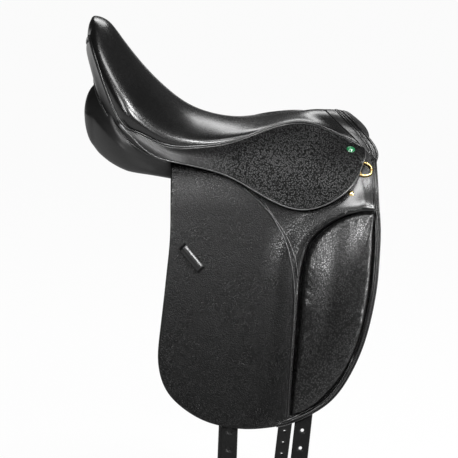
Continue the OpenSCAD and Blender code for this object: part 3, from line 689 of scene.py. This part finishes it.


# ---- Flaps -------------------------------------------------------------------
# Each flap is one long sheet of grained leather, fixed under the skirt.
# A window in its front is raised round the knee block, and its front edge is bound and stitched.
def part_of(place, axis):
    """One coordinate of a place."""
    return place.node("ShaderNodeSeparateXYZ", None, {0: place}, out=axis)


flap_leather = leather(
    "flap_leather", 0.0025, 0.28, 0.0027, 0.00026, crease=0.6, gloss=0.18, polish=0.55, wax=0.24,
    smooth=lambda place: part_of(place, 0).step(0.15, 0.19) * part_of(place, 2).step(-0.06, -0.03))


def flap_y(x, z):
    """How far out the flap's face is: curved over the tree above its bend, a little full below."""
    h = z - BEND_Z
    above = BEND_Y - h * (0.3 + 0.0035 * h + 0.43 * ease(120, 222, x))
    below = flap_line(z) + 5 * np.sin(np.pi * np.clip(-h / FLAP_DROP, 0, 1))
    return np.where(h > 0, above, below)


def on_flap(p):
    """The flap's pattern in its place on the saddle."""
    z = BEND_Z - p[:, 1]
    return np.stack([p[:, 0], flap_y(p[:, 0], z), z], -1)


def flap_top(x):
    """Height of the flap's upper cut: low under the skirt, with a corner raised at the head."""
    return (mix(34, -12, ease(10, 48, x) * (1 - ease(162, 200, x)))
            + 14 * (ease(196, 206, x) - ease(211, 221, x)))


head_x = np.linspace(-87, 222, 90)
head = np.stack([head_x, BEND_Z - flap_top(head_x)], -1)
flap_cut = even(np.concatenate([head, [[222.5, -60], [222.5, -30]], hem, [[-87, -72]]]), 3.2)[:-1]
window_lip = curve([[219, -0.2], [193.5, 0.3], [171.4, 5.7], [151.8, 15], [132, 29], [117.3, 47.7],
                    [109.2, 73.4], [104.8, 99.1], [103, 128.4], [99.8, 165.7], [95.2, 217.4], [90.8, 265.5],
                    [90, 291]])(np.linspace(0, 12, 160))
window_front = curve([[90, 291], [104, 287], [118, 281], [149, 256], [173, 223], [189.5, 191],
                      [199.5, 158], [206.5, 126], [212, 84], [214.5, 53], [216, 17],
                      [219, -0.2]])(np.linspace(0, 11, 160))
window = np.concatenate([even(window_lip, 3)[:-1], even(window_front, 3)[:-1]])
LIP_LIFT, FULL_LIFT = 6.0, 5.0


def flap_height(p):
    """Lip raised round the window of the knee block and a fuller swell behind it, both dying out at
    the flap's own edge, and a soft fold by the stud."""
    x, down = p[:, 0], p[:, 1]
    near, hem_near = distance(p, window, True), distance(p, flap_cut, True)
    behind = ease(10, 60, x) * ease(-60, 0, down)
    lip = LIP_LIFT * (1 - ease(3, 40, near)) * behind * np.sqrt(np.clip(near / 1.6, 0, 1))
    full = FULL_LIFT * (1 - ease(15, 65, near)) * ease(20, 60, x) * ease(-15, 40, down)
    fold = 1.2 * np.exp(-((x - 201) / 9) ** 2) - 0.8 * np.exp(-((x - 213) / 7) ** 2)
    fold = fold * ease(-80, -40, down) * (1 - ease(-12, 0, down))
    lift = lip * ease(0, 7, hem_near) + full * np.clip(near / 8, 0, 1) * ease(0, 12, hem_near) + fold
    return np.where(inside(p, window), 0.0, lift)


FLAP_T, SKIVED = 4, 1.8


def flap_thick(p):
    """Thickness of the leather, skived thinner along the line where the flap bends."""
    return FLAP_T - SKIVED * np.exp(-((p[:, 1] + 4) / 9) ** 2)


rings = [window + left_of(window) * d for d in (0, 0.4, 1.0, 1.8)]
pattern = cut(flap_cut, 4.5, (0.5, 1.2, 2.2), [np.concatenate([ring, ring[:1]]) for ring in rings])
flap = lay(pattern, on_flap, flap_thick(pattern[0]), flap_height)
FLAP_BEND = ((70, BEND_Y, BEND_Z + 8), (70, BEND_Y, BEND_Z))
for name, side in SIDES:
    make(f"flap_leather_{name}", *flap, flap_leather, "grain_leather", None, side,
         [f"flap_{name}", f"flap_head_{name}"], ("root", f"flap_{name}") + FLAP_BEND)


WELT_SIDES = 10


def welt(path, out, wide, high):
    """Piping along a path: an oval cord of leather, lying on a face whose direction is out."""
    along = unit(np.gradient(path, axis=0))
    across = unit(np.cross(along, out))
    up = np.cross(across, along)
    turn = np.linspace(0, 2 * math.pi, WELT_SIDES, endpoint=False)
    ring = (path[:, None] + across[:, None] * (wide * np.cos(turn))[None, :, None]
            + up[:, None] * (high * np.sin(turn))[None, :, None])
    return ring, tube_faces(len(path), WELT_SIDES)


STITCH_PITCH, STITCH_L, STITCH_W, STITCH_H = 4.2, 3.0, 0.9, 0.7


def stitches(path, out):
    """Row of single stitches along a path, lying on a face whose direction is out."""
    path = even(path, 1.0)
    run = np.arange(len(path))
    at = np.arange(STITCH_PITCH / 2, len(path) - 1, STITCH_PITCH)
    spot = np.stack([np.interp(at, run, path[:, i]) for i in range(3)], -1)
    along = np.gradient(path, axis=0)
    along = unit(np.stack([np.interp(at, run, along[:, i]) for i in range(3)], -1))
    share = at / (len(path) - 1)
    up = np.stack([np.interp(share, np.linspace(0, 1, len(out)), out[:, i]) for i in range(3)], -1)
    across = unit(np.cross(along, up))
    up = np.cross(across, along)
    ahead, aside, lift = along * STITCH_L / 2, across * STITCH_W / 2, up * STITCH_H
    six = [spot + ahead, spot + aside, spot - ahead, spot - aside, spot + lift, spot - lift]
    points = np.stack(six, 1).reshape(-1, 3)
    faces = []
    for k in range(len(spot)):
        b = 6 * k
        for i in range(4):
            j = (i + 1) % 4
            faces += [(b + i, b + j, b + 4), (b + j, b + i, b + 5)]
    return points, faces


def flap_out(p, rise=0.0):
    """Points on the flap's face and its outward direction there."""
    base = on_flap(p)
    out = face_out(on_flap, p, 0.5)
    return base + out * (flap_height(p) + rise)[:, None], out


place, dress = surface("waxed_thread")
twist = noise(place, 0.0008)
thread = dress(twist, 0.0001, **{"Base Color": twist.mix(grey(0.012), grey(0.03)),
                                 "Roughness": 0.5 + 0.2 * twist})
piping_leather = leather("piping_leather", 0.003, 0.24, 0.0014, 0.00003, crease=0.3)

seam_rear = curve([[20.8, -35.5], [35.6, -23.2], [56.8, -3.7], [72, 18.3], [82.5, 38.4], [90, 62.7],
                   [94.5, 91.8], [95.9, 127.7], [93, 173.1], [90, 217.4], [87.1, 264.8],
                   [85.7, 289.3]])(np.linspace(0, 11, 200))
seam_front = curve([[47.5, -20.4], [64.4, 3.8], [77.9, 22.6], [88.6, 41.3], [97.5, 66.9],
                    [100.6, 91.8]])(np.linspace(0, 5, 120))
edge_line = curve(flap_front[:-1] + [[70, 304.5]])(np.linspace(0, 9.7, 260))
top_line = np.stack([np.full(20, 222.5), np.linspace(-68, -2, 20)], -1)
edge_line = even(np.concatenate([top_line, edge_line]), 3)


def beside(line, inset):
    """The same line moved to its left by an inset."""
    tangent = unit(np.gradient(line, axis=0))
    return line + np.stack([-tangent[:, 1], tangent[:, 0]], -1) * inset


PIPED = ((even(seam_rear, 3), 0.1, 1.5, 1.3), (even(seam_front, 3), 0.1, 1.3, 1.1),
         (beside(edge_line, 0.4), -1.6, 1.7, 2.3), (beside(edge_line, 4.2), 0.1, 1.3, 1.2),
         (beside(edge_line, 7.0), 0.1, 1.1, 0.9))
piping = join([welt(*flap_out(line, rise), wide, high) for line, rise, wide, high in PIPED])
SEWN = ((seam_rear, -3.2), (edge_line, 2.3), (edge_line, 9.4))
sewing = join([stitches(*flap_out(even(beside(line, inset), 1.0), 0.15)) for line, inset in SEWN])
for name, side in SIDES:
    make(f"flap_piping_{name}", *piping, piping_leather, "grain_leather", None, side, [],
         ("root", f"flap_{name}") + FLAP_BEND)
    make(f"flap_stitching_{name}", *sewing, thread, "grain_leather", None, side, [],
         ("root", f"flap_{name}") + FLAP_BEND)


# ---- Knee blocks -------------------------------------------------------------
# A stuffed block of foam under grained leather fills the flap's window, full in the middle and
# drawn down into the window's edge in short puckers.
# Its pebble tops are painted pale at full strength: partly grain colour, partly a painted glint.
block_leather = leather("block_leather", 0.0025, 0.26, 0.0027, 0.00012, crease=0.6, painted_glint_on_grain=1.0,
                        gloss=0.25, polish=1.0, wax=0.28)
ring = window[::-1]
gap = 1.5 + 0.5 * ease(190, 120, ring[:, 0])
block_edge = ring + left_of(ring) * gap[:, None]
block_edge = block_edge[distance(block_edge, window, True) > gap.min() * 0.9]
block_edge = even(np.concatenate([block_edge, block_edge[:1]]), 3)[:-1]
pattern = cut(block_edge, 2.8, (0.3, 0.8, 1.6, 2.8, 4.4, 6.6))
flat, triangles, _, edge = pattern

# The stuffing's swell is evened out over neighbouring points, as a skin drawn over it would be.
BLOCK_SWELL, BLOCK_ROLL, PUCKER_DEPTH, EVENINGS = 15, 4.0, 0.22, 120
pairs = np.concatenate([triangles[:, [i, (i + 1) % 3]] for i in range(3)])
pairs = np.concatenate([pairs, pairs[:, ::-1]])
count = np.bincount(pairs[:, 0], minlength=len(flat))
crown = np.clip(edge / 55, 0, 1)
swell = crown * (2 - crown)
for _ in range(EVENINGS):
    near = np.bincount(pairs[:, 0], swell[pairs[:, 1]], len(flat)) / count
    swell = np.where(edge > 0.1, near, swell)
swell = swell * BLOCK_SWELL / swell.max()
around = np.arctan2(flat[:, 1] - 140, (flat[:, 0] - 155) * 2.2)
pucker = np.sin(around * 34 + 2.2 * np.sin(around * 7)) * np.exp(-((edge - 9) / 6) ** 2)
roll = np.sqrt(np.clip(1 - (1 - np.minimum(edge / 9, 1)) ** 2, 0, 1))
block_rise = 0.6 + swell + BLOCK_ROLL * roll + PUCKER_DEPTH * pucker
stuffed = lay(pattern, on_flap, 0.2, lambda p: block_rise, round_edge=False)
for name, side in SIDES:
    block = make(f"knee_pad_{name}", *stuffed, block_leather, "grain_leather", f"flap_{name}", side,
                 [f"knee_block_{name}"])


# ---- Keepers -----------------------------------------------------------------
# A short leather loop on each flap holds the tail of the stirrup leather. It lies aslant near the
# rear edge, and its two ends come down to the flap.
KEEPER_HALF_W, KEEPER_HALF_L, KEEPER_T = 6.5, 23, 2.4
keeper_at, keeper_turn = np.array([-55, 64]), math.radians(49)
along = np.array([math.cos(keeper_turn), math.sin(keeper_turn)])
across = np.array([-along[1], along[0]])
rows = KEEPER_HALF_W - np.array([0, 0.15, 0.5, 1.1])
rows = np.concatenate([-rows, np.linspace(-4.6, 4.6, 9), rows[::-1]])
cols = np.linspace(-KEEPER_HALF_L, KEEPER_HALF_L, 81)
u, v = np.meshgrid(rows, cols, indexing="ij")
flat = keeper_at - u[..., None] * across + v[..., None] * along
bridge = 6.2 + 2.2 * (1 - (u / KEEPER_HALF_W) ** 2)
bridge = bridge * np.sqrt(np.clip(1 - ease(18, KEEPER_HALF_L, np.abs(v)), 0, 1))
face, out = flap_out(flat.reshape(-1, 2))
strip = (face + out * (bridge.ravel()[:, None] + 0.4)).reshape(u.shape + (3,))
keeper = hide(strip, KEEPER_T, KEEPER_HALF_W - np.abs(u) + 0.02)
for name, side in SIDES:
    make(f"keeper_loop_{name}", *keeper, piping_leather, "grain_leather", f"flap_{name}", side,
         [f"keeper_{name}"])


# ---- Skirts ------------------------------------------------------------------
# The skirt is a sheet of heavily grained leather set into the seat's seam. Its front lobe lies over
# the stirrup bar, its face folded along a straight line; behind, it narrows to a tail along the panel.
# Its pebble tops are painted pale at full strength: partly grain colour, partly a painted glint.
skirt_leather = leather(
    "skirt_leather", 0.0025, 0.26, 0.0025, 0.00036, crease=0.8, painted_glint_on_grain=1.0, gloss=0.04, polish=0.75,
    wax=0.4, smooth=lambda place: 0.55 * (1 - part_of(place, 0).step(-0.12, 0.02)))
skirt_low = curve([[201.5, 102, 28], [191, 125, 10.5], [164, 150, -12.5], [108, 157, -31],
                   [48, 150, -10], [0.6, 134, 14], [-50, 129, 28.5], [-100, 130, 41],
                   [-132, 132, 62], [-160.5, 127, 93.5]])
FOLD_FRONT, FOLD_REAR, TAIL_FOLD = np.array([205, 93, 34.0]), np.array([0, 131, 15.0]), 0.62


def skirt_face(t, v):
    """Outer face of the skirt from the seat's seam, v 0, to its cut edge, v 1, by way of the fold."""
    t, v = np.broadcast_arrays(np.asarray(t, float), np.asarray(v, float))
    tt, vv = t[..., None], v[..., None]
    top = seam(t) + (0, 1.2, -1.5) + np.array([4, 4, 1]) * (1 - ease(0, 0.6, tt))
    low = skirt_low(t)
    fold = mix(FOLD_FRONT, FOLD_REAR, np.clip(tt / 5, 0, 1))
    tail = ease(4.4, 5.4, tt)
    share = np.linalg.norm(fold - top, axis=-1, keepdims=True)
    share = mix(share / (share + np.linalg.norm(low - fold, axis=-1, keepdims=True)), TAIL_FOLD, tail)
    fold = mix(fold, mix(top, low, TAIL_FOLD), tail)
    fold = fold + np.array([0, 1.2, 0.6]) * (1 - tail)
    lead = (1 - vv) ** 2 * top + vv ** 2 * low
    pull = (fold - (1 - share) ** 2 * top - share ** 2 * low) / np.maximum(2 * share * (1 - share), 0.05)
    bow = np.sin(math.pi * vv) * (np.array([0, 2.0, 2.0]) * ease(0, 1.5, tt) * (1 - ease(6, 9, tt)))
    return lead + 2 * vv * (1 - vv) * pull + bow + np.array([0, 4.7, 0]) * ease(6.2, 7.2, tt)


v_line = np.concatenate([np.linspace(0, 0.9, 40), 1 - np.geomspace(0.09, 0.004, 9), [1.0]])
t_line = np.concatenate([[0, 0.012, 0.03, 0.06], np.linspace(0.1, 9, 150)])
v, t = np.meshgrid(v_line, t_line, indexing="ij")
grid = skirt_face(t, v)
to_edge = np.linalg.norm(grid - grid[-1:], axis=-1)
to_front = np.linalg.norm(grid - grid[:, :1], axis=-1)
rim = np.minimum(to_edge, to_front) + 0.02
LOBE_BEND = ((98, 100, 40), (107, 128, 3))
SKIRT_T = 3.5
skirt = hide(grid, SKIRT_T, rim)
skirt_out = facing_out(grid)
edge_out = np.concatenate([skirt_out[6:, 0], skirt_out[-1, 1:]])
skirt_edge = np.concatenate([grid[6:, 0], grid[-1, 1:]]) - edge_out * SKIRT_T / 2
# The welt on the skirt's cut edge has a tone much paler than the other leathers, a painted highlight along
# the edge; its gloss and polish are real shine.
edge_wax_painted_highlight = leather("edge_wax_painted_highlight", 0.02, 0.36, 0.0014, 0.00002, crease=0.3, gloss=1.0, polish=1.0, wax=0.34)
waxed = welt(skirt_edge, edge_out, 1.0, 1.85)
for name, side in SIDES:
    make(f"skirt_leather_{name}", *skirt, skirt_leather, "skirt_leather", None, side,
         [f"skirt_{name}", f"skirt_lobe_{name}"], ("root", f"skirt_lobe_{name}") + LOBE_BEND)
    make(f"skirt_edge_{name}", *waxed, edge_wax_painted_highlight, "skirt_leather", None, side, [],
         ("root", f"skirt_lobe_{name}") + LOBE_BEND)


# ---- Seat --------------------------------------------------------------------
# The seat is a soft cover of smooth calf drawn over the foam, rolled at its sides and welted to the
# skirts along a double piped seam.
seat_leather = leather("seat_leather", 0.0025, 0.21, 0.0024, 0.00004, crease=0.35)
COVER_T = 2.2
s_line = np.concatenate([np.linspace(-1, -0.78, 22), np.linspace(-0.75, 0.75, 51),
                         np.linspace(0.78, 1, 22)])[::-1]
t, s = np.meshgrid(np.linspace(0, SEAT_END, 150), s_line, indexing="ij")
seat = make("seat_cushion", *hide(seat_point(t, s), COVER_T), seat_leather, "seat_leather", "root",
            stands_for=["seat_cover"])

t = np.linspace(0, SEAT_END, 280)
path = seam(t)
out = unit(path - np.stack([path[:, 0] * 0.6, 0 * t, path[:, 2] - 30], -1))
around = np.concatenate([path, path[::-1] * (1, -1, 1)])
outs = np.concatenate([out, out[::-1] * (1, -1, 1)])
piping = join([welt(around + outs * 0.4 + (0, 0, 0.4), outs, 2.0, 1.8),
               welt(around + outs * 1.2 - (0, 0, 2.6), outs, 1.5, 1.4)])
make("seat_piping", *piping, piping_leather, "seat_leather", "root")


# ---- Cantle facing -----------------------------------------------------------
# A strip of smooth leather closes the back of the cantle between the seat's roll and the panels. It
# bows out a little behind, and its lower edge is piped.
facing_low = curve([[-92, 130, 36], [-130, 131, 53], [-160, 122, 76], [-188, 99, 111], [-203, 60, 143],
                    [-207, 0, 151]])
CANTLE_BOW = 5
across = np.linspace(1, -1, 121)
to_middle = 1 - np.abs(across)
down = np.linspace(0, 1, 13)
upper = seam(mix(7.2, SEAT_END, to_middle)) + (0, 0, -2.3)
grid = mix(upper[None], facing_low(to_middle * 5)[None], down[:, None, None])
grid[..., 0] -= CANTLE_BOW * to_middle * np.sin(math.pi * down ** 0.7)[:, None]
grid[..., 1] *= np.sign(across)
facing_leather = leather("facing_leather", 0.003, 0.27, 0.0018, 0.00004, crease=0.3)
make("cantle_strip", *hide(grid, COVER_T), facing_leather, "seat_leather", "root",
     stands_for=["cantle_facing"])
piping = welt(grid[-1], facing_out(grid)[-1], 1.8, 1.8)
make("cantle_piping", *piping, piping_leather, "seat_leather", "root")


# ---- Pommel facing -----------------------------------------------------------
# The head of the saddle is bound by a smooth band in front of the seat, with two rows of fine piping
# and a thicker one along its front rim.
rim_front = curve([[178, 0, 89], [190, 32, 80], [210, 60, 61], [221, 71, 47], [225, 76, 35],
                   [222, 79, 24]])
POMMEL_CROWN = 1.5
across = np.linspace(-1, 1, 101)
from_middle = np.abs(across)
down = np.linspace(0, 1, 17)
upper = seat_point(np.zeros(101), from_middle) + (0.5, 0, 0.1)
grid = mix(upper[None], rim_front(from_middle * 5)[None], down[:, None, None])
grid[..., 2] += POMMEL_CROWN * np.sin(math.pi * down)[:, None]
grid[..., 1] *= np.sign(across)
make("pommel_band", *hide(grid, COVER_T), facing_leather, "seat_leather", "root",
     stands_for=["pommel_facing"])
out = facing_out(grid)
piping = join([welt(grid[row], out[row], wide, high)
               for row, wide, high in ((9, 1.3, 1.2), (12, 1.3, 1.2), (-1, 2.0, 2.0))])
make("pommel_piping", *piping, piping_leather, "seat_leather", "root")


# ---- Fittings ----------------------------------------------------------------
# A domed green-enamelled nail sits in the front corner of each skirt, a brass breastplate ring is
# held at the head by a leather chape, and a brass stud holds the front of the flap.
place, dress = surface("polished_brass")
wear = noise(place, 0.006)
brass = dress(wear, 0.00003, Metallic=1.0, **{
    "Base Color": wear.mix((0.55, 0.38, 0.14, 1), (0.82, 0.62, 0.28, 1)), "Roughness": 0.18 + 0.2 * wear})
place, dress = surface("green_enamel")
cloud = noise(place, 0.004)
enamel = dress(cloud, 0.00002, **{
    "Base Color": cloud.mix((0.004, 0.06, 0.02, 1), (0.01, 0.13, 0.045, 1)),
    "Roughness": 0.2 + 0.15 * cloud, "Coat Weight": 0.4, "Coat Roughness": 0.08})
paint(brass, "flap_studs", "dee_ring_left", "dee_ring_right")
paint(enamel, "saddle_nails")
paint(strap_leather, "dee_chape_left", "dee_chape_right")


# ---- Floor and light ---------------------------------------------------------
# A wide pale floor lies under the saddle. Soft studio lamps stand above, ahead of and behind it, so
# that the rolls and edges of black leather are drawn by their shine.
def stage_sheet(name, half, height, material):
    """Square sheet that belongs to the picture and not to the part."""
    corners = [(-half, -half, height), (half, -half, height), (half, half, height), (-half, half, height)]
    data = bpy.data.meshes.new(name)
    data.from_pydata(corners, [], [(0, 1, 2, 3)])
    data.materials.append(material)
    made = bpy.data.objects.new(name, data)
    scene.collection.objects.link(made)


def seen_white(name, share):
    """Pale paint that the camera, gloss and glass see as white, by a share of it."""
    material = bpy.data.materials.new(name)
    material.use_nodes = True
    tree = material.node_tree
    shader = tree.nodes["Principled BSDF"]
    start = Wire(tree)
    start.feed(shader, {"Base Color": grey(0.8), "Roughness": 0.9})
    rays = [start.node("ShaderNodeLightPath", out=f"Is {kind} Ray")
            for kind in ("Camera", "Glossy", "Transmission")]
    seen = rays[0] + rays[1] + rays[2]
    white = start.node("ShaderNodeEmission", None, {"Color": (1, 1, 1, 1), "Strength": 1.0})
    both = start.node("ShaderNodeMixShader", None,
                      {0: seen * share, 1: Wire(tree, shader.outputs[0]), 2: white})
    start.feed(tree.nodes["Material Output"], {"Surface": both})
    return material


FLOOR_HALF, FLOOR_Z, FLOOR_WHITE = 200, -0.672, 0.96
stage_sheet("floor", FLOOR_HALF, FLOOR_Z, seen_white("pale_floor", FLOOR_WHITE))

world = bpy.data.worlds.new("studio")
world.use_nodes = True
scene.world = world
Wire(world.node_tree).feed(world.node_tree.nodes["Background"], {"Color": grey(1), "Strength": 0.06})


def lamp(name, place, aim, size, power):
    """Soft lamp of a size in metres and a power in watts, turned from its place to an aim."""
    light = bpy.data.lights.new(name, "AREA")
    light.shape = "RECTANGLE"
    light.size, light.size_y = size
    light.energy = power
    made = bpy.data.objects.new(name, light)
    made.location = place
    made.rotation_euler = (Vector(aim) - Vector(place)).to_track_quat("-Z", "Y").to_euler()
    scene.collection.objects.link(made)


lamp("over_seat", (0.2, -0.55, 1.7), (0.05, 0, 0.05), (0.8, 0.4), 16)
lamp("over_pommel", (0.9, -0.55, 1.3), (0.21, -0.1, 0), (0.3, 0.3), 19)
lamp("behind", (0.15, 1.4, 1.25), (0, 0, 0.08), (0.9, 0.5), 9)
lamp("over_camera", (-0.3, -1.1, 0.96), (0, -0.15, -0.05), (0.4, 0.3), 8)
lamp("head_side", (0.92, -1.4, 1.18), (0.05, 0, -0.05), (0.35, 0.5), 34)
lamp("head_strip", (1.8, -0.7, 0.15), (-0.1, 0, 0.1), (0.25, 0.8), 25)
lamp("tail_side", (-0.5, -1.75, 0.86), (0.05, -0.1, -0.1), (0.25, 0.25), 14)

scene.view_settings.view_transform = "Standard"
